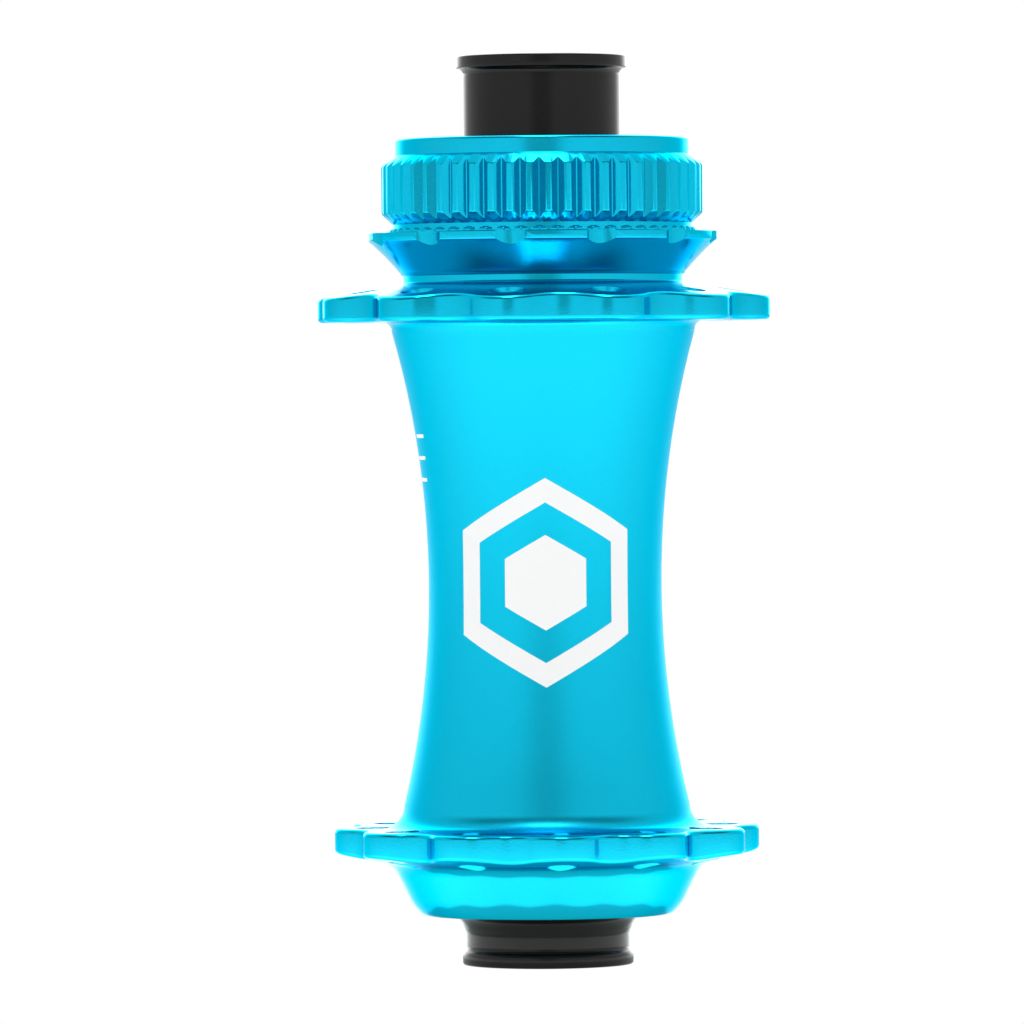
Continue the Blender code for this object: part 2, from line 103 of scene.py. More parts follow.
def ramp(tree, factor, stops, interpolation="EASE"):
    """A grey ColorRamp from (position, value) stops."""
    node = add_node(tree, "ShaderNodeValToRGB")
    node.color_ramp.interpolation = interpolation
    elements = node.color_ramp.elements
    while len(elements) < len(stops):
        elements.new(0.5)
    for element, (position, value) in zip(elements, stops):
        element.position = position
        element.color = (value, value, value, 1)
    tree.links.new(factor, node.inputs[0])
    return node.outputs[0]


def white_to_camera(tree, surface, lamp, output):
    """Pure white where the camera looks at it, and the real surface where the hub mirrors it."""
    seen = add_node(tree, lamp)
    seen.inputs["Color"].default_value = (1, 1, 1, 1)
    mix = add_node(tree, "ShaderNodeMixShader")
    tree.links.new(add_node(tree, "ShaderNodeLightPath").outputs["Is Camera Ray"], mix.inputs[0])
    tree.links.new(surface, mix.inputs[1])
    tree.links.new(seen.outputs[0], mix.inputs[2])
    tree.links.new(mix.outputs[0], add_node(tree, output).inputs[0])


def front_to_back(tree, vector):
    """0 towards the camera's side, 1 behind the hub, and the same on the left and right."""
    split = add_node(tree, "ShaderNodeSeparateXYZ")
    tree.links.new(vector, split.inputs[0])
    ahead = maths(tree, "MULTIPLY", split.outputs["Y"], -1.0)
    turn = maths(tree, "ARCTAN2", split.outputs["X"], ahead)
    return maths(tree, "DIVIDE", maths(tree, "ABSOLUTE", turn), math.pi), split, turn


table_height = cad_box[0].z - TABLE_GAP * MM
bpy.ops.mesh.primitive_plane_add(size=TABLE_WIDTH, location=(0, 0, table_height))
bpy.ops.object.transform_apply()
table = bpy.context.object
table.name = "white_table"
table_finish = bpy.data.materials.new("white_table")
table_finish.use_nodes = True
tree = table_finish.node_tree
tree.nodes.clear()
paper = add_node(tree, "ShaderNodeBsdfDiffuse")
place = add_node(tree, "ShaderNodeTexCoord").outputs["Object"]
behind, split, turn_round = front_to_back(tree, place)
x, y = split.outputs["X"], split.outputs["Y"]
away = maths(tree, "SQRT", maths(tree, "MULTIPLY_ADD", x, x, maths(tree, "MULTIPLY", y, y)))
# A painted shadow of the flange and its twelve lobes darkens the table, which shows only in what
# the hub mirrors.
lobes = maths(tree, "COSINE", maths(tree, "MULTIPLY_ADD", turn_round, 12.0, -0.9))
shadow = maths(tree, "MULTIPLY_ADD", lobes, SHADOW_LOBE * MM, SHADOW_RADIUS * MM)
past_flange = maths(tree, "DIVIDE", maths(tree, "SUBTRACT", away, shadow), SHADOW_EDGE * MM)
# Painted shadow: 0.5 inside the flange's lobed outline and 1 outside it, which darkens the paper
# and its glow.
painted_shadow = ramp(tree, past_flange, [(0.0, 0.5), (1.0, 1.0)])
half_metres = maths(tree, "MULTIPLY", away, 2.0)
far = ramp(tree, half_metres, [(0.09, 1.0), (0.19, 0.5), (0.35, 0.5), (0.75, 0.0)])
tree.links.new(ramp(tree, painted_shadow, [(0.5, 0.5), (1.0, 0.8)], "LINEAR"), paper.inputs["Color"])
# Painted light: the table glows brightest near the hub and on the camera's side, fades further off,
# and is dimmed in the painted shadow. Only what the hub mirrors sees it.
front = ramp(tree, behind, [(0.3, 1.0), (0.62, 0.5)])
painted_table_glow = add_node(tree, "ShaderNodeEmission")
painted_table_glow.inputs["Color"].default_value = (*WARM_WHITE, 1)
spread = maths(tree, "MULTIPLY", painted_shadow, far)
glow = maths(tree, "MULTIPLY", spread, maths(tree, "MULTIPLY", front, TABLE_GLOW))
tree.links.new(glow, painted_table_glow.inputs["Strength"])
both = add_node(tree, "ShaderNodeAddShader")
tree.links.new(paper.outputs[0], both.inputs[0])
tree.links.new(painted_table_glow.outputs[0], both.inputs[1])
white_to_camera(tree, both.outputs[0], "ShaderNodeEmission", "ShaderNodeOutputMaterial")
table.data.materials.append(table_finish)

CAMERA_DISTANCE = 1.0  # in metres
CAMERA_HEIGHT = 14.6 * MM
LOOK_AT = Vector((-3.6 * MM, 0, -0.17 * MM))
CAMERA_ROLL = math.radians(-0.47)
LENS = 319.2
camera_data = bpy.data.cameras.new("camera")
camera_data.sensor_width = 36
camera_data.lens = LENS
camera = bpy.data.objects.new("camera", camera_data)
scene.collection.objects.link(camera)
camera.location = (LOOK_AT.x, -CAMERA_DISTANCE, CAMERA_HEIGHT)
facing = (LOOK_AT - camera.location).to_track_quat("-Z", "Y").to_matrix()
camera.rotation_euler = (facing @ Matrix.Rotation(CAMERA_ROLL, 3, "Z")).to_euler()
scene.camera = camera

# The room is brighter behind the hub than round the camera, with a softbox overhead.
ROOM_LIGHT = 3.9
SOFTBOX_LIGHT = 4.0
CAMERA_SHADE = 0.42
world = bpy.data.worlds.new("white_studio")
scene.world = world
world.use_nodes = True
sky = world.node_tree
sky.nodes.clear()
direction = add_node(sky, "ShaderNodeTexCoord").outputs["Generated"]
behind, split, _ = front_to_back(sky, direction)
across, depth, up = (split.outputs[axis] for axis in "XYZ")
around = ramp(sky, behind, [(0.0, 0.24), (0.16, 0.26), (0.3, 0.25), (0.6, 0.22), (0.74, 0.24),
                            (0.88, 0.72), (1.0, 0.8)])
high = ramp(sky, up, [(0.42, 0.0), (0.6, 1.0), (0.8, 1.0), (0.93, 0.0)])
ahead = ramp(sky, behind, [(0.35, 0.85), (0.6, 0.0)])
gap = maths(sky, "SUBTRACT", 1.0, maths(sky, "MULTIPLY", high, ahead))
room = maths(sky, "MULTIPLY", maths(sky, "MULTIPLY", around, gap), ROOM_LIGHT)
softbox_width = ramp(sky, maths(sky, "ABSOLUTE", across), [(0.13, 1.0), (0.19, 0.0)])
forward = maths(sky, "ADD", depth, 0.75)
softbox_length = ramp(sky, forward, [(0.25, 0.0), (0.36, 1.0), (0.93, 1.0), (1.0, 0.0)])
is_up = ramp(sky, up, [(0.5, 0.0), (0.6, 1.0)])
softbox = maths(sky, "MULTIPLY", maths(sky, "MULTIPLY", softbox_width, softbox_length), is_up)
camera_side = ramp(sky, behind, [(0.04, CAMERA_SHADE), (0.11, 0.0)])
off_camera = maths(sky, "ABSOLUTE", maths(sky, "SUBTRACT", up, 0.12))
camera_level = ramp(sky, off_camera, [(0.3, 1.0), (0.42, 0.0)])
shade = maths(sky, "SUBTRACT", 1.0, maths(sky, "MULTIPLY", camera_side, camera_level))
light = maths(sky, "MULTIPLY_ADD", softbox, SOFTBOX_LIGHT, room)
strength = maths(sky, "MULTIPLY", light, shade)
lit = add_node(sky, "ShaderNodeBackground")
lit.inputs["Color"].default_value = (1, 1, 1, 1)
sky.links.new(strength, lit.inputs["Strength"])
white_to_camera(sky, lit.outputs[0], "ShaderNodeBackground", "ShaderNodeOutputWorld")


# ---------------------------------------------------------------------------------------------
# Hub shell. One piece of aluminium, turned, splined at the rotor end, milled to lobes round the
# spoke holes, bead-blasted and anodised turquoise.

shell_low, shell_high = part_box("hub_shell")
SHELL_TOP = shell_high.z / MM
SHELL_BOTTOM = shell_low.z / MM
mounts = {mount["name"]: mount for mount in frame["record"]["mounts"]}
SEAT = mounts["rotor_seat"]["pos_m"][2] / MM
TEETH = 52
FACETS_PER_TOOTH = 8
SPOKES = 12


def bow(start, end, bulge, steps):
    """Points of a round stretch between two points, which stands out by bulge at its middle."""
    a, b = Vector(start), Vector(end)
    chord = b - a
    half = chord.length / 2
    radius = (half**2 + bulge**2) / (2 * abs(bulge))
    side = Vector((-chord.y, chord.x)).normalized() * math.copysign(1, bulge)
    centre = (a + b) / 2 - side * (radius - abs(bulge))
    sweep = (a - centre).angle_signed(b - centre)
    first = a - centre
    turned = []
    for step in range(steps + 1):
        angle = -sweep * step / steps
        spot = Vector((first.x * math.cos(angle) - first.y * math.sin(angle),
                       first.x * math.sin(angle) + first.y * math.cos(angle)))
        turned.append(tuple(centre + spot))
    return turned


def select_only(pieces):
    """Select some pieces and nothing else, with the first one active."""
    bpy.ops.object.select_all(action="DESELECT")
    for piece in pieces:
        piece.select_set(True)
    bpy.context.view_layer.objects.active = pieces[0]


def turn(name, facets, outline, hollow=True):
    """A turned piece. The outline's points are (radius, height), and each one becomes a ring."""
    rings = [(radius * MM, height * MM) for radius, height in outline]
    if hollow:
        rings.append(rings[0])
    radius, height = rings[0]
    bpy.ops.object.select_all(action="DESELECT")
    bpy.ops.mesh.primitive_circle_add(vertices=facets, radius=radius, location=(0, 0, height))
    bpy.ops.object.transform_apply()
    piece = bpy.context.object
    piece.name = name
    bpy.ops.object.mode_set(mode="EDIT")
    bpy.ops.mesh.select_all(action="SELECT")
    if not hollow:
        bpy.ops.mesh.edge_face_add()
        bpy.ops.mesh.select_mode(type="EDGE")
    for next_radius, next_height in rings[1:]:
        rise = (0, 0, next_height - height)
        bpy.ops.mesh.extrude_edges_move(TRANSFORM_OT_translate={"value": rise})
        scale = next_radius / radius
        bpy.ops.transform.resize(value=(scale, scale, 1), center_override=(0, 0, 0))
        radius, height = next_radius, next_height
    if not hollow:
        bpy.ops.mesh.edge_face_add()
    bpy.ops.mesh.select_mode(type="VERT")
    bpy.ops.mesh.select_all(action="SELECT")
    bpy.ops.mesh.remove_doubles(threshold=0.0005 * MM)
    bpy.ops.mesh.normals_make_consistent(inside=False)
    bpy.ops.object.mode_set(mode="OBJECT")
    return piece


def reshape(piece, rule):
    """Move every corner of a piece by a rule of its radius, turn and height."""
    for corner in piece.data.vertices:
        x, y, z = corner.co / MM
        radius, angle, z = rule(math.hypot(x, y), math.atan2(x, -y), z)
        corner.co = Vector((radius * math.sin(angle), -radius * math.cos(angle), z)) * MM


def smooth(piece, angle=30):
    """Smooth shading, with hard edges where the surface turns sharply."""
    select_only([piece])
    bpy.ops.object.shade_smooth_by_angle(angle=math.radians(angle))
    bpy.ops.object.modifier_add(type="WEIGHTED_NORMAL")
    piece.modifiers[-1].keep_sharp = True
    bpy.ops.object.modifier_apply(modifier=piece.modifiers[-1].name)


class Flange:
    """A spoke flange: a disc with a coned outer face, milled to a lobe round each spoke hole."""

    lobe = 4.55  # radius of a lobe
    valley_depth = 2.27
    rounding = 0.52
    rim_width = 1.3  # in roundings, from the lobes' tips in to the first ring of the rim
    rim_steps = 4

    def __init__(self, tip, holes, phase, root, tip_height, inner_height):
        """Radii of the lobes' tips and of the hole circle, then the cone's ends and inner face."""
        self.tip = tip
        self.holes = holes
        self.phase = math.radians(phase)
        self.root_radius, self.root_height = root
        self.inner_height = inner_height
        self.slope = (tip_height - self.root_height) / (tip - self.root_radius)
        half_pitch = math.pi / SPOKES
        self.lobe_circle = tip - self.lobe
        reach = tip - self.valley_depth - self.lobe_circle * math.cos(half_pitch)
        half_gap = self.lobe_circle * math.sin(half_pitch)
        self.valley = (reach**2 + half_gap**2 - self.lobe**2) / (2 * (self.lobe - reach))
        self.valley_circle = tip - self.valley_depth + self.valley
        run = self.valley_circle * math.cos(half_pitch) - self.lobe_circle
        rise = self.valley_circle * math.sin(half_pitch)
        share = self.lobe / math.hypot(run, rise)
        self.change = math.atan2(rise * share, self.lobe_circle + run * share)

    def face(self, radius):
        """Height of the coned outer face at a radius."""
        return self.root_height + self.slope * (radius - self.root_radius)

    def edge(self, angle):
        """Radius of the lobed edge at a turn."""
        pitch = math.tau / SPOKES
        off = abs((angle - self.phase + pitch / 2) % pitch - pitch / 2)
        if off < self.change:
            across = self.lobe_circle * math.sin(off)
            return self.lobe_circle * math.cos(off) + math.sqrt(self.lobe**2 - across**2)
        off = pitch / 2 - off
        across = self.valley_circle * math.sin(off)
        return self.valley_circle * math.cos(off) - math.sqrt(self.valley**2 - across**2)

    def lean(self, angle):
        """Cosine between the edge's own normal and the radius, for roundings of even width."""
        step = 0.002
        change = (self.edge(angle + step) - self.edge(angle - step)) / (2 * step)
        return 1 / math.hypot(1, change / self.edge(angle))

    def rim(self):
        """Outline round the rim, from the coned face to the inner face."""
        r = self.rounding
        outer = self.face(self.tip - r)
        way = math.copysign(1, outer - self.inner_height)
        start = self.tip - r * self.rim_width
        points = [(start, self.face(start))]
        for step in range(self.rim_steps + 1):
            angle = math.pi / 2 * step / self.rim_steps
            height = outer - way * r * (1 - math.cos(angle))
            points.append((self.tip - r + r * math.sin(angle), height))
        for step in range(self.rim_steps + 1):
            angle = math.pi / 2 * step / self.rim_steps
            height = self.inner_height + way * r * (1 - math.sin(angle))
            points.append((self.tip - r + r * math.cos(angle), height))
        points.append((start, self.inner_height))
        return points

    def in_rim(self, radius):
        """Whether a corner at this radius belongs to the rim."""
        return radius > self.tip - (self.rim_width + 0.1) * self.rounding

    def draw_in(self, radius, angle, height):
        """Move a rim corner from the full circle to the lobed edge, along the coned face."""
        new_radius = self.edge(angle) - (self.tip - radius) / self.lean(angle)
        middle = (self.face(self.tip) + self.inner_height) / 2
        if (height - middle) * (middle - self.inner_height) > 0:
            height += self.slope * (new_radius - radius)
        return new_radius, height


ROTOR_HOLE_PHASE = -10.65
rotor_flange = Flange(tip=25.27, holes=21.0, phase=ROTOR_HOLE_PHASE, root=(15.5, SEAT - 5.6),
                      tip_height=SEAT - 7.2, inner_height=SEAT - 9.8)
plain_flange = Flange(tip=23.45, holes=19.3, phase=ROTOR_HOLE_PHASE + 180 / SPOKES,
                      root=(16.2, SHELL_BOTTOM + 5.45), tip_height=SHELL_BOTTOM + 6.9,
                      inner_height=SHELL_BOTTOM + 9.6)

BARREL_ARC = 103.0  # radius of the arc that the waist follows
WAIST_RADIUS = 12.82
WAIST = -8.2
BARREL_TOP = rotor_flange.inner_height - 0.9
BARREL_BOTTOM = plain_flange.inner_height + 2.4


def barrel_radius(z):
    """Radius of the waisted barrel at a height."""
    return WAIST_RADIUS + BARREL_ARC - math.sqrt(BARREL_ARC**2 - (z - WAIST) ** 2)


TOOTH_TIP = 17.71
TOOTH_ROOT = 17.0
TOOTH_EDGE = 0.1
TOOTH_CHAMFER = 1.2  # height of the chamfer at each end of a tooth
BAND = 16.27
NECK = 16.5
FOOT = 15.47
LEAD_IN = SHELL_TOP - 1.8
LEAD_IN_SLOPE = TOOTH_CHAMFER / (TOOTH_TIP - BAND)
UNDERCUT = 17.8
UNDERCUT_DEPTH = 0.2
SEAT_EDGE = 19.25
RUN_OUT = SEAT + 0.9
RUN_OUT_SLOPE = TOOTH_CHAMFER / (TOOTH_TIP - NECK)
THREAD = 15.05
THREAD_DEPTH = 0.16
THREAD_PITCH = 1.0
THREAD_TOP = SHELL_TOP - 0.7
THREAD_BOTTOM = SHELL_TOP - 5.7
THREAD_STEPS = 40
RECESS = 15.3
RACE_BORE = 13.05
RACE_GAP = 0.1
CORE_BORE = 11.2
plain_race_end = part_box("outer_race_plain_side")[1].z / MM
rotor_race_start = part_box("outer_race_rotor_side")[0].z / MM
rotor_race_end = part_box("outer_race_rotor_side")[1].z / MM

top_radius = barrel_radius(BARREL_TOP)
low_radius = barrel_radius(BARREL_BOTTOM)
shell_outline = [
    *bow((BAND - 0.35, SHELL_TOP), (BAND, SHELL_TOP - 0.35), 0.1, 4),
    (BAND, SHELL_TOP - 0.5),
    (BAND, LEAD_IN),
    (TOOTH_TIP - TOOTH_EDGE, LEAD_IN - (TOOTH_TIP - TOOTH_EDGE - BAND) * LEAD_IN_SLOPE),
    (TOOTH_TIP, LEAD_IN - TOOTH_CHAMFER - TOOTH_EDGE),
    (TOOTH_TIP, RUN_OUT + TOOTH_CHAMFER + TOOTH_EDGE),
    (TOOTH_TIP - TOOTH_EDGE, RUN_OUT + (TOOTH_TIP - TOOTH_EDGE - NECK) * RUN_OUT_SLOPE),
    (NECK, RUN_OUT),
    (NECK, SEAT + 0.5),
    (NECK, SEAT + 0.4),
    (NECK, SEAT + 0.31),
    (NECK, SEAT + 0.2),
    (NECK, SEAT + 0.05),
    (NECK, SEAT - UNDERCUT_DEPTH),
    (UNDERCUT, SEAT - UNDERCUT_DEPTH),
    (UNDERCUT, SEAT),
    *bow((SEAT_EDGE - 0.12, SEAT), (SEAT_EDGE, SEAT - 0.12), 0.035, 2),
    *bow((SEAT_EDGE, SEAT - 0.8), (19.1, SEAT - 0.98), 0.04, 2),
    *bow((19.0, SEAT - 1.05), (15.78, SEAT - 4.35), -0.1, 9),
    *bow((15.7, SEAT - 4.43), (FOOT, SEAT - 4.75), 0.05, 3),
    *bow((FOOT, SEAT - 5.25), (15.85, rotor_flange.face(15.85)), -0.11, 4),
    *rotor_flange.rim(),
    (top_radius + 1.2, rotor_flange.inner_height),
    *bow((top_radius + 0.95, rotor_flange.inner_height), (top_radius, BARREL_TOP), -0.28, 6),
]
BARREL_RINGS = 22
for ring in range(1, BARREL_RINGS):
    z = BARREL_TOP + (BARREL_BOTTOM - BARREL_TOP) * ring / BARREL_RINGS
    shell_outline.append((barrel_radius(z), z))
shell_outline += [
    *bow((low_radius, BARREL_BOTTOM), (low_radius + 2.35, plain_flange.inner_height), -0.7, 8),
    *reversed(plain_flange.rim()),
    *bow((18.6, plain_flange.face(18.6)), (16.5, SHELL_BOTTOM + 4.45), -0.33, 9),
    *bow((16.44, SHELL_BOTTOM + 4.33), (15.35, SHELL_BOTTOM + 2.1), -0.01, 4),
    *bow((15.3, SHELL_BOTTOM + 1.99), (13.95, SHELL_BOTTOM + 0.12), 0.12, 7),
    (13.72, SHELL_BOTTOM),
    (13.35, SHELL_BOTTOM),
    (RACE_BORE, SHELL_BOTTOM + 0.3),
    (RACE_BORE, plain_race_end + RACE_GAP),
    (CORE_BORE, plain_race_end + RACE_GAP),
    (CORE_BORE, rotor_race_start - RACE_GAP),
    (RACE_BORE, rotor_race_start - RACE_GAP),
    (RACE_BORE, rotor_race_end + RACE_GAP),
    (13.15, rotor_race_end + 0.2),
    (15.2, rotor_race_end + 0.2),
    (RECESS, THREAD_BOTTOM - 0.6),
    (RECESS, THREAD_BOTTOM - 0.1),
]
for ring in range(THREAD_STEPS + 1):
    z = THREAD_BOTTOM + (THREAD_TOP - THREAD_BOTTOM) * ring / THREAD_STEPS
    shell_outline.append((THREAD, z))
shell_outline += [
    (15.1, SHELL_TOP - 0.5),
    (15.45, SHELL_TOP - 0.08),
    (15.53, SHELL_TOP),
]

tooth_pitch = math.tau / TEETH
TOOTH_PHASE = math.radians(-1.3)
GROOVE_FLOOR = 0.08
GROOVE_FLANK = 0.66
# Where the eight facets of a tooth stand, in millimetres from the middle of its groove.
groove_spots = [-0.92, -0.74, -0.4, -0.08, 0.08, 0.4, 0.74, 0.92]
DOME_BAND = 0.45  # how far above and below the seat's height the neck is shaped
DOME_FOOT = 0.12
DOME_HEIGHT = 0.36
DOME_FADE = 0.2
DOME_WIDTH = 0.83
DOME_DEPTH = 0.35
DOME_GAP = 0.2


def shell_rule(radius, angle, z):
    """Gather the facets at the grooves' corners, then cut the teeth, the lobes and the thread.

    Below each groove, the end of the cutter leaves a small dome in the neck above the seat.
    """
    facet = round(angle / tooth_pitch * FACETS_PER_TOOTH)
    tooth, spot = divmod(facet, FACETS_PER_TOOTH)
    offset = groove_spots[spot]
    if z > SEAT - 0.5 and radius > RECESS + 0.1:
        angle = tooth * tooth_pitch + TOOTH_PHASE + offset / TOOTH_TIP
    climb = min(1, (abs(offset) - GROOVE_FLOOR) / GROOVE_FLANK)
    groove = TOOTH_ROOT + (TOOTH_TIP - TOOTH_ROOT) * climb
    if RUN_OUT + 0.01 < z < LEAD_IN - 0.01 and radius > NECK and radius > groove:
        if z > (RUN_OUT + LEAD_IN) / 2:
            z = LEAD_IN - (groove - BAND) * LEAD_IN_SLOPE
        else:
            z = RUN_OUT + (groove - NECK) * RUN_OUT_SLOPE
        radius = groove
    elif abs(radius - NECK) < 0.01 and abs(z - SEAT) < DOME_BAND:
        dome = 1 - (offset / DOME_WIDTH) ** 2
        top = SEAT + DOME_FOOT + DOME_HEIGHT * dome
        down = min(1, max(0, (top - z) / DOME_FADE))
        radius += math.sqrt(down) * (DOME_DEPTH * dome if dome > 0 else -DOME_GAP)
    elif rotor_flange.in_rim(radius):
        radius, z = rotor_flange.draw_in(radius, angle, z)
    elif z < 0 and plain_flange.in_rim(radius):
        radius, z = plain_flange.draw_in(radius, angle, z)
    elif abs(radius - THREAD) < 0.01 and z > SEAT:
        radius += THREAD_DEPTH * math.sin(math.tau * z / THREAD_PITCH - angle)
    return radius, angle, z


shell = turn("turned_hub_shell", TEETH * FACETS_PER_TOOTH, shell_outline)
reshape(shell, shell_rule)

# Stepped drills. Each one spot-faces and countersinks its hole from both sides, and the ones for
# the rotor side also cut the pocket that lets a spoke past the rotor seat.
DRILL_FACETS = 28
POCKET = 2.5
SPOT = 1.95
SPOT_DEPTH = 0.15
HOLE = 1.25
SINK_DEPTH = 0.6
rotor_cone = rotor_flange.face(rotor_flange.holes)
rotor_inside = rotor_flange.inner_height
rotor_drill = [
    (POCKET, SEAT + 0.4),
    (POCKET, SEAT - 5.0),
    (SPOT, SEAT - 5.0),
    (SPOT, rotor_cone - SPOT_DEPTH),
    (SPOT - 0.15, rotor_cone - SPOT_DEPTH),
    (HOLE, rotor_cone - SINK_DEPTH),
    (HOLE, rotor_inside + SINK_DEPTH),
    (SPOT - 0.15, rotor_inside + SPOT_DEPTH),
    (SPOT, rotor_inside + SPOT_DEPTH),
    (SPOT, rotor_inside - 1.5),
]
plain_cone = plain_flange.face(plain_flange.holes)
plain_inside = plain_flange.inner_height
plain_drill = [
    (SPOT, plain_inside + 1.5),
    (SPOT, plain_inside - SPOT_DEPTH),
    (SPOT - 0.15, plain_inside - SPOT_DEPTH),
    (HOLE, plain_inside - SINK_DEPTH),
    (HOLE, plain_cone + SINK_DEPTH),
    (SPOT - 0.4, plain_cone + 0.1),
    (SPOT - 0.25, plain_cone + 0.1),
    (SPOT, plain_cone - 2.5),
]
drills = []
for flange, outline in ((rotor_flange, rotor_drill), (plain_flange, plain_drill)):
    pattern = turn("drill", DRILL_FACETS, outline, hollow=False)
    for spoke in range(SPOKES):
        angle = flange.phase + math.tau * spoke / SPOKES
        drill = pattern.copy()
        drill.data = pattern.data.copy()
        scene.collection.objects.link(drill)
        place = Vector((flange.holes * math.sin(angle), -flange.holes * math.cos(angle), 0)) * MM
        drill.data.transform(Matrix.Translation(place))
        drills.append(drill)
    bpy.data.objects.remove(pattern)
select_only(drills)
bpy.ops.object.join()
drill_set = bpy.context.object
select_only([shell])
bpy.ops.object.modifier_add(type="BOOLEAN")
shell.modifiers[-1].object = drill_set
bpy.ops.object.modifier_apply(modifier=shell.modifiers[-1].name)
bpy.data.objects.remove(drill_set)
smooth(shell)


def finish_named(name, colour, roughness, metallic):
    """A Principled material with its own nodes and a place to read Object coordinates from."""
    material = bpy.data.materials.new(name)
    material.use_nodes = True
    tree = material.node_tree
    shader = tree.nodes["Principled BSDF"]
    shader.inputs["Base Color"].default_value = (*colour, 1)
    shader.inputs["Roughness"].default_value = roughness
    shader.inputs["Metallic"].default_value = metallic
    place = add_node(tree, "ShaderNodeTexCoord").outputs["Object"]
    return material, tree, shader, place


def grain(tree, place, size, detail=2.0):
    """Fine noise with grains of a size in millimetres."""
    noise = add_node(tree, "ShaderNodeTexNoise")
    noise.inputs["Scale"].default_value = 1 / (size * MM)
    noise.inputs["Detail"].default_value = detail
    tree.links.new(place, noise.inputs["Vector"])
    return noise.outputs["Fac"]


def mottle(tree, shader, place, size, darker, lighter):
    """Colour that drifts between two close shades, in patches of a size in millimetres."""
    shades = add_node(tree, "ShaderNodeMix", data_type="RGBA")
    shades.inputs["A"].default_value = (*darker, 1)
    shades.inputs["B"].default_value = (*lighter, 1)
    tree.links.new(grain(tree, place, size), shades.inputs["Factor"])
    tree.links.new(shades.outputs["Result"], shader.inputs["Base Color"])


def dent(tree, shader, height, depth, strength):
    """Bump from a height map, its depth in millimetres."""
    bump = add_node(tree, "ShaderNodeBump")
    bump.inputs["Strength"].default_value = strength
    bump.inputs["Distance"].default_value = depth * MM
    tree.links.new(height, bump.inputs["Height"])
    tree.links.new(bump.outputs[0], shader.inputs["Normal"])


# The barrel is blasted dull. The bearing housing under the plain flange is polished, and so is
# everything from the rotor flange up. The ramp runs over the hub's 100 mm.
POLISHED_HOUSING = 0.13
POLISHED_ROTOR_END = 0.15
BLASTED = 0.36
SPECKLE = 0.12
blue, tree, shader, place = finish_named("anodised_blue", (0.006, 0.5, 0.725), 0.3, 1.0)
shader.inputs["Specular Tint"].default_value = (0.42, 0.8, 0.93, 1)
mottle(tree, shader, place, 0.25, (0.006, 0.475, 0.7), (0.006, 0.525, 0.75))
axes = add_node(tree, "ShaderNodeSeparateXYZ")
tree.links.new(place, axes.inputs[0])
up_the_hub = maths(tree, "MULTIPLY_ADD", axes.outputs["Z"], 10.0, 0.5)
dullness = ramp(tree, up_the_hub, [(0.145, POLISHED_HOUSING), (0.165, BLASTED), (0.69, BLASTED),
                                   (0.705, POLISHED_ROTOR_END)])
speckled = maths(tree, "MULTIPLY_ADD", grain(tree, place, 0.12, 3.0), SPECKLE, dullness)
tree.links.new(maths(tree, "SUBTRACT", speckled, SPECKLE / 2), shader.inputs["Roughness"])
dent(tree, shader, grain(tree, place, 0.22, 3.0), 0.01, 0.5)
shell.data.materials.clear()
shell.data.materials.append(blue)
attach(shell, "hub_body")
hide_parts("hub_shell")


# ---------------------------------------------------------------------------------------------
# Mark on the barrel. A laser bleaches the blue out of the anodising and leaves bare, white metal:
# a plain hexagon with a smaller one in it, and three short bars further round.

MARK_HEIGHT = -7.7
MARK_FILM = 0.03
MARK_GAP = 0.004
STRIP_WIDTH = 0.5
STRIP_HEIGHT = 2.0
HEXAGON = 11.4
HEXAGON_WALL = 2.3
INNER_HEXAGON = 5.2
BAR_LEFT = -20
BAR_RIGHT = -17.1
BAR_WIDTH = 0.4


def flat_patch(corners):
    """A flat patch. Its corners are (distance round the barrel, height), in turn."""
    bpy.ops.object.select_all(action="DESELECT")
    bpy.ops.mesh.primitive_plane_add(size=2 * MM)
    patch = bpy.context.object
    first, second, third, fourth = corners
    for corner, (x, z) in zip(patch.data.vertices, (first, second, fourth, third)):
        corner.co = Vector((x, 0, z)) * MM
    return patch


def flat_hexagon(radius):
    """A flat hexagon with a corner at the top."""
    bpy.ops.object.select_all(action="DESELECT")
    bpy.ops.mesh.primitive_circle_add(vertices=6, radius=radius * MM, fill_type="NGON",
                                      rotation=(math.pi / 2, 0, 0))
    bpy.ops.object.transform_apply()
    return bpy.context.object


hexagon = flat_hexagon(HEXAGON)
bpy.ops.object.mode_set(mode="EDIT")
bpy.ops.mesh.select_mode(type="FACE")
bpy.ops.mesh.select_all(action="SELECT")
bpy.ops.mesh.inset(thickness=HEXAGON_WALL * MM)
bpy.ops.mesh.delete(type="FACE")
bpy.ops.object.mode_set(mode="OBJECT")
patches = [hexagon, flat_hexagon(INNER_HEXAGON)]
for low in (11.0, 13.4, 15.8):
    patches.append(flat_patch([(BAR_LEFT, low), (BAR_RIGHT, low), (BAR_RIGHT, low + BAR_WIDTH),
                               (BAR_LEFT, low + BAR_WIDTH)]))
select_only(patches)
bpy.ops.object.join()
mark = bpy.context.object
mark.name = "barrel_mark"
bpy.ops.object.mode_set(mode="EDIT")
bpy.ops.mesh.select_all(action="SELECT")
bpy.ops.mesh.remove_doubles(threshold=0.01 * MM)
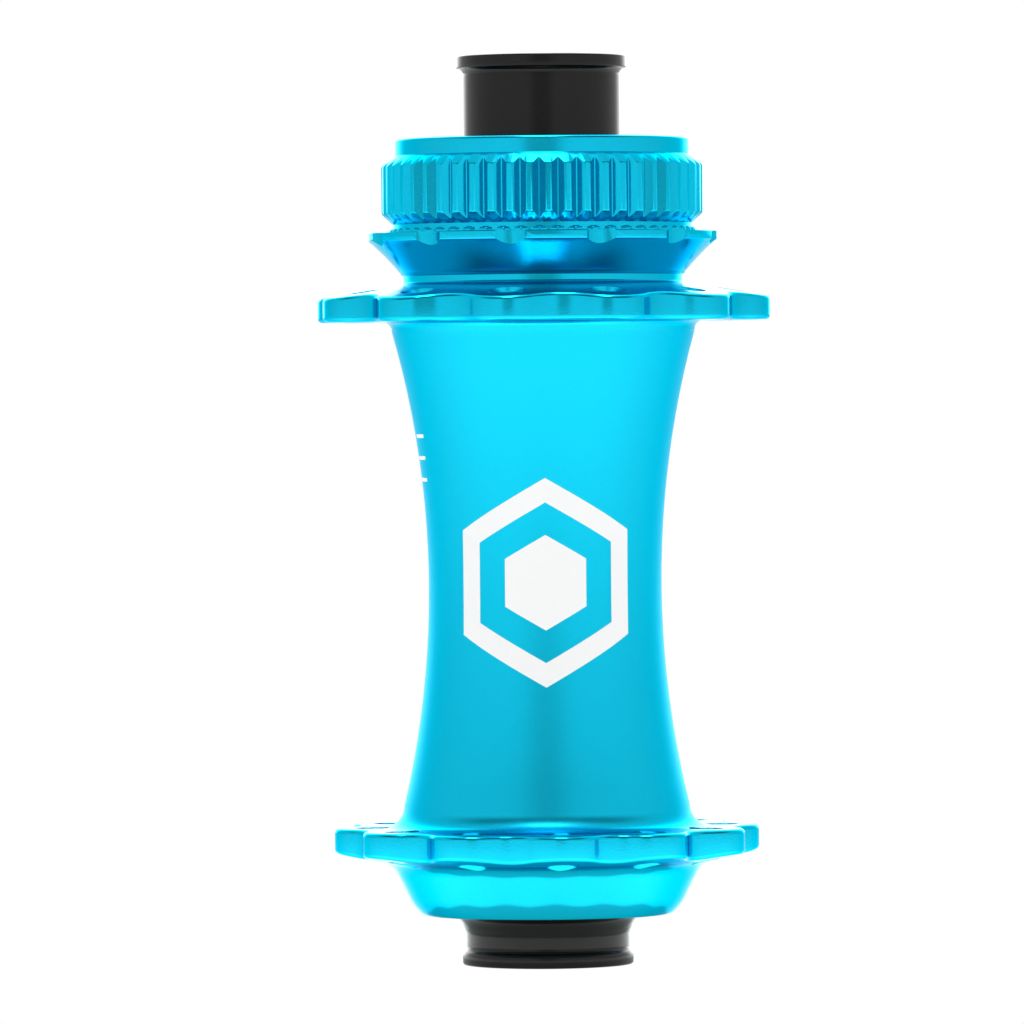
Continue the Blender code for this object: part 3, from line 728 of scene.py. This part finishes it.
# The flat mark is cut into small faces, beside its corners, and then bent round the barrel.
for step in range(-41, 24):
    bpy.ops.mesh.select_all(action="SELECT")
    bpy.ops.mesh.bisect(plane_co=((step + 0.31) * STRIP_WIDTH * MM, 0, 0), plane_no=(1, 0, 0))
for step in range(-7, 9):
    bpy.ops.mesh.select_all(action="SELECT")
    bpy.ops.mesh.bisect(plane_co=(0, 0, (step + 0.21) * STRIP_HEIGHT * MM), plane_no=(0, 0, 1))
bpy.ops.object.mode_set(mode="OBJECT")
for corner in mark.data.vertices:
    height = corner.co.z + MARK_HEIGHT * MM
    radius = (barrel_radius(height / MM) + MARK_GAP) * MM
    angle = corner.co.x / radius
    corner.co = Vector((radius * math.sin(angle), -radius * math.cos(angle), height))
bpy.ops.object.mode_set(mode="EDIT")
bpy.ops.mesh.select_all(action="SELECT")
bpy.ops.mesh.normals_make_consistent(inside=False)
bpy.ops.object.mode_set(mode="OBJECT")
face = mark.data.polygons[0]
if face.normal.dot(face.center * Vector((1, 1, 0))) < 0:
    mark.data.flip_normals()
bpy.ops.object.modifier_add(type="SOLIDIFY")
mark.modifiers[-1].thickness = MARK_FILM * MM
mark.modifiers[-1].offset = 1
bpy.ops.object.modifier_apply(modifier=mark.modifiers[-1].name)
smooth(mark)
white, tree, shader, place = finish_named("bleached_metal", (0.8, 0.8, 0.82), 0.55, 0.0)
mottle(tree, shader, place, 0.15, (0.78, 0.78, 0.81), (0.83, 0.83, 0.85))
dent(tree, shader, grain(tree, place, 0.1, 3.0), 0.004, 0.4)
mark.data.materials.append(white)
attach(mark, "hub_body")


# ---------------------------------------------------------------------------------------------
# End caps. Turned from bar, anodised black, and bored for the thru-axle. Each has a stub with a
# groove for its O-ring, and pushes into the axle by hand.

CAP_FACETS = 160
BORE = 6.05
MOUTH = 6.42
RIM = 9.4
STUB = 7.4
STUB_LENGTH = 12.0
O_RING_PLACE = 6.0
O_RING_FLOOR = 6.5


def stub_outline(face, inward):
    """The stub from its shoulder to its tip and back to the mouth of the bore."""
    groove = face + inward * O_RING_PLACE
    tip = face + inward * STUB_LENGTH
    return [
        (STUB, face),
        (STUB, groove - inward * 0.7),
        (STUB - 0.05, groove - inward * 0.65),
        (O_RING_FLOOR, groove - inward * 0.65),
        (O_RING_FLOOR, groove + inward * 0.65),
        (STUB - 0.05, groove + inward * 0.65),
        (STUB, groove + inward * 0.7),
        (STUB, tip - inward * 0.35),
        (7.1, tip),
        (6.3, tip),
        (BORE, tip - inward * 0.25),
    ]


def turned_lines(tree, place, shader, size, depth, strength=0.5):
    """The fine lines that a turning tool leaves round a piece, about a third of size apart."""
    lines = add_node(tree, "ShaderNodeTexWave", wave_type="BANDS", bands_direction="Z")
    lines.inputs["Scale"].default_value = 1 / (size * MM)
    lines.inputs["Distortion"].default_value = 1.5
    lines.inputs["Detail"].default_value = 3.0
    tree.links.new(place, lines.inputs["Vector"])
    dent(tree, shader, lines.outputs["Fac"], depth, strength)


black, tree, shader, place = finish_named("anodised_black", (0.006, 0.006, 0.006), 0.16, 0.0)
shader.inputs["Specular IOR Level"].default_value = 0.25
mottle(tree, shader, place, 0.3, (0.0025, 0.0025, 0.0027), (0.005, 0.005, 0.005))
turned_lines(tree, place, shader, 0.9, 0.002, 0.35)

rotor_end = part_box("end_cap_rotor_side")[1].z / MM
rotor_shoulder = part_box("end_cap_rotor_side")[0].z / MM + STUB_LENGTH
ROTOR_WAIST = 8.73
ROTOR_SHOULDER = 9.9
rotor_cap_outline = [
    *bow((9.22, rotor_end), (RIM, rotor_end - 0.18), 0.05, 4),
    *bow((RIM, rotor_end - 1.2), (9.3, rotor_end - 1.36), 0.03, 3),
    (9.1, rotor_end - 1.4),
    *bow((8.95, rotor_end - 1.45), (ROTOR_WAIST, rotor_end - 2.3), -0.12, 6),
    (ROTOR_WAIST, rotor_shoulder + 2.3),
    *bow((ROTOR_WAIST, rotor_shoulder + 2.0), (9.8, rotor_shoulder + 0.9), -0.25, 6),
    (ROTOR_SHOULDER, rotor_shoulder + 0.8),
    (ROTOR_SHOULDER, rotor_shoulder),
    *stub_outline(rotor_shoulder, -1),
    (BORE, rotor_end - 0.35),
    (MOUTH - 0.07, rotor_end - 0.05),
    (MOUTH, rotor_end),
]
plain_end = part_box("end_cap_plain_side")[0].z / MM
plain_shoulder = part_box("end_cap_plain_side")[1].z / MM - STUB_LENGTH
PLAIN_WAIST = 8.95
PLAIN_SKIRT = 10.35
plain_cap_outline = [
    *reversed(stub_outline(plain_shoulder, 1)),
    (PLAIN_SKIRT - 0.1, plain_shoulder),
    (PLAIN_SKIRT, plain_shoulder - 0.1),
    (PLAIN_SKIRT, plain_shoulder - 0.55),
    *bow((10.3, plain_shoulder - 0.65), (9.25, plain_shoulder - 1.85), -0.2, 6),
    *bow((9.2, plain_shoulder - 2.0), (PLAIN_WAIST, plain_shoulder - 2.7), -0.04, 4),
    (PLAIN_WAIST, plain_end + 2.15),
    *bow((PLAIN_WAIST, plain_end + 2.0), (9.3, plain_end + 1.4), -0.06, 4),
    *bow((9.33, plain_end + 1.3), (RIM, plain_end + 1.1), 0.02, 2),
    *bow((RIM, plain_end + 0.3), (9.1, plain_end), 0.09, 4),
    (MOUTH, plain_end),
    (MOUTH - 0.07, plain_end + 0.05),
    (BORE, plain_end + 0.35),
]
for name, outline, body, node in (
    ("turned_cap_rotor_side", rotor_cap_outline, "rotor_cap", "end_cap_rotor_side"),
    ("turned_cap_plain_side", plain_cap_outline, "plain_cap", "end_cap_plain_side"),
):
    cap = turn(name, CAP_FACETS, outline)
    smooth(cap)
    cap.data.materials.append(black)
    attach(cap, body)
    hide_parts(node)


# ---------------------------------------------------------------------------------------------
# Axle. An aluminium tube, turned bright, with a ground seat at each end for a bearing and a
# shoulder that the bearing's inner race sits against.

INNER_FACETS = 128
BEARING_SEAT = 8.45
SHOULDER = 9.6
TUBE = 9.0
AXLE_BORE = 7.5
AXLE_EDGE = 0.15
bearing_middles = {}
for side in ("rotor_side", "plain_side"):
    low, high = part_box("inner_race_" + side)
    bearing_middles[side] = (low.z + high.z) / 2 / MM


def broken(outline, size):
    """An outline with its corners broken by a small chamfer."""
    points = []
    for index, corner in enumerate(outline):
        corner = Vector(corner)
        for other in (outline[index - 1], outline[(index + 1) % len(outline)]):
            side = Vector(other) - corner
            points.append(tuple(corner + side.normalized() * min(size, side.length / 3)))
    return points


def uneven_gloss(tree, shader, place, size, glossy, dull):
    """Roughness that drifts between two values, in patches of a size in millimetres."""
    gloss = ramp(tree, grain(tree, place, size), [(0.3, glossy), (0.7, dull)])
    tree.links.new(gloss, shader.inputs["Roughness"])


bright, tree, shader, place = finish_named("machined_aluminium", (0.78, 0.79, 0.8), 0.28, 1.0)
uneven_gloss(tree, shader, place, 0.6, 0.22, 0.34)
turned_lines(tree, place, shader, 1.5625, 0.004)

rotor_middle = bearing_middles["rotor_side"]
plain_middle = bearing_middles["plain_side"]
axle_outline = [
    (BEARING_SEAT, rotor_middle + 2.3),
    (BEARING_SEAT, rotor_middle - 2.6),
    (SHOULDER, rotor_middle - 2.6),
    (SHOULDER, rotor_middle - 5.1),
    (TUBE, rotor_middle - 6.35),
    (TUBE, plain_middle + 6.35),
    (SHOULDER, plain_middle + 5.1),
    (SHOULDER, plain_middle + 2.6),
    (BEARING_SEAT, plain_middle + 2.6),
    (BEARING_SEAT, plain_middle - 2.3),
    (AXLE_BORE, plain_middle - 2.3),
    (AXLE_BORE, rotor_middle + 2.3),
]
axle = turn("turned_axle", INNER_FACETS, broken(axle_outline, AXLE_EDGE))
smooth(axle)
axle.data.materials.append(bright)
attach(axle, "axle_set")
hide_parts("axle")


# ---------------------------------------------------------------------------------------------
# Cartridge bearings, 17 x 26 x 5 mm, one pressed in at each end. Hardened steel races with ground
# faces, fourteen balls in a nylon cage, and a moulded rubber seal in each side of the outer race.

steel, tree, shader, place = finish_named("ground_steel", (0.62, 0.62, 0.63), 0.18, 1.0)
uneven_gloss(tree, shader, place, 0.4, 0.13, 0.26)
turned_lines(tree, place, shader, 0.75, 0.002)
rubber, tree, shader, place = finish_named("seal_rubber", (0.016, 0.016, 0.017), 0.6, 0.0)
uneven_gloss(tree, shader, place, 0.5, 0.5, 0.72)
dent(tree, shader, grain(tree, place, 0.2, 3.0), 0.02, 0.4)
nylon, tree, shader, place = finish_named("natural_nylon", (0.55, 0.5, 0.38), 0.45, 0.0)
shader.inputs["Subsurface Weight"].default_value = 0.2
shader.inputs["Subsurface Radius"].default_value = (0.001, 0.0008, 0.0005)
mottle(tree, shader, place, 0.8, (0.5, 0.45, 0.33), (0.6, 0.55, 0.43))

HALF_WIDTH = 2.5
BALL_TRACK = 0.4
RACE_EDGE = 0.12
SEAL_EDGE = 0.05
SEAL_PLACE = 2.0
inner_race = broken([
    (9.95, HALF_WIDTH), (9.95, 0.85), (9.45, BALL_TRACK), (9.45, -BALL_TRACK), (9.95, -0.85),
    (9.95, -HALF_WIDTH), (8.55, -HALF_WIDTH), (8.55, HALF_WIDTH),
], RACE_EDGE)
outer_race = broken([
    (12.95, HALF_WIDTH), (12.95, -HALF_WIDTH), (12.0, -HALF_WIDTH), (12.0, -1.7), (11.5, -1.7),
    (11.5, -0.9), (12.05, -BALL_TRACK), (12.05, BALL_TRACK), (11.5, 0.9), (11.5, 1.7),
    (12.0, 1.7), (12.0, HALF_WIDTH),
], RACE_EDGE)
seal_lip = broken([
    (11.9, 0.25), (11.9, -0.25), (10.05, -0.25), (10.05, 0.12), (10.3, 0.25), (10.55, 0.25),
    (10.65, 0.1), (11.35, 0.1), (11.45, 0.25),
], SEAL_EDGE)
for side, middle in bearing_middles.items():
    out = 1 if middle > 0 else -1
    outer_seal = middle + SEAL_PLACE * out
    inner_seal = middle - SEAL_PLACE * out
    bearing_pieces = [
        ("inner_race_" + side, inner_race, middle, 1, "axle_set", steel, "bearing_steel"),
        ("outer_race_" + side, outer_race, middle, 1, "hub_body", steel, "bearing_steel"),
        ("seal_" + side + "_outer", seal_lip, outer_seal, out, "hub_body", rubber, "seal_rubber"),
        ("seal_" + side + "_inner", seal_lip, inner_seal, -out, "hub_body", rubber, "seal_rubber"),
    ]
    for node, outline, centre, way, body, finish, slot in bearing_pieces:
        ring = turn("turned_" + node, INNER_FACETS, [(r, centre + z * way) for r, z in outline])
        smooth(ring)
        ring.data.materials.append(finish)
        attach(ring, body)
        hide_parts(node)
for name in frame["nodes"]:
    if name.startswith("ball_cage"):
        bpy.data.objects[name].data.materials[0] = nylon
    elif name.startswith("ball_"):
        bpy.data.objects[name].data.materials[0] = steel


# ---------------------------------------------------------------------------------------------
# O-rings. Black rubber, 0.84 mm thick, one in the groove of each cap's stub. They grip the bore of
# the axle, so that a cap pulls off by hand but doesn't fall off.

RING_STEPS = 16
for side, body in (("rotor_side", "rotor_cap"), ("plain_side", "plain_cap")):
    low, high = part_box("o_ring_" + side)
    centre = (low.z + high.z) / 2 / MM
    section = (high.z - low.z) / 2 / MM
    middle = high.x / MM - section
    outline = []
    for step in range(RING_STEPS):
        angle = -math.tau * step / RING_STEPS
        outline.append((middle + section * math.cos(angle), centre + section * math.sin(angle)))
    ring = turn("moulded_o_ring_" + side, INNER_FACETS, outline)
    smooth(ring, 60)
    ring.data.materials.append(rubber)
    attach(ring, body)
    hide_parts("o_ring_" + side)
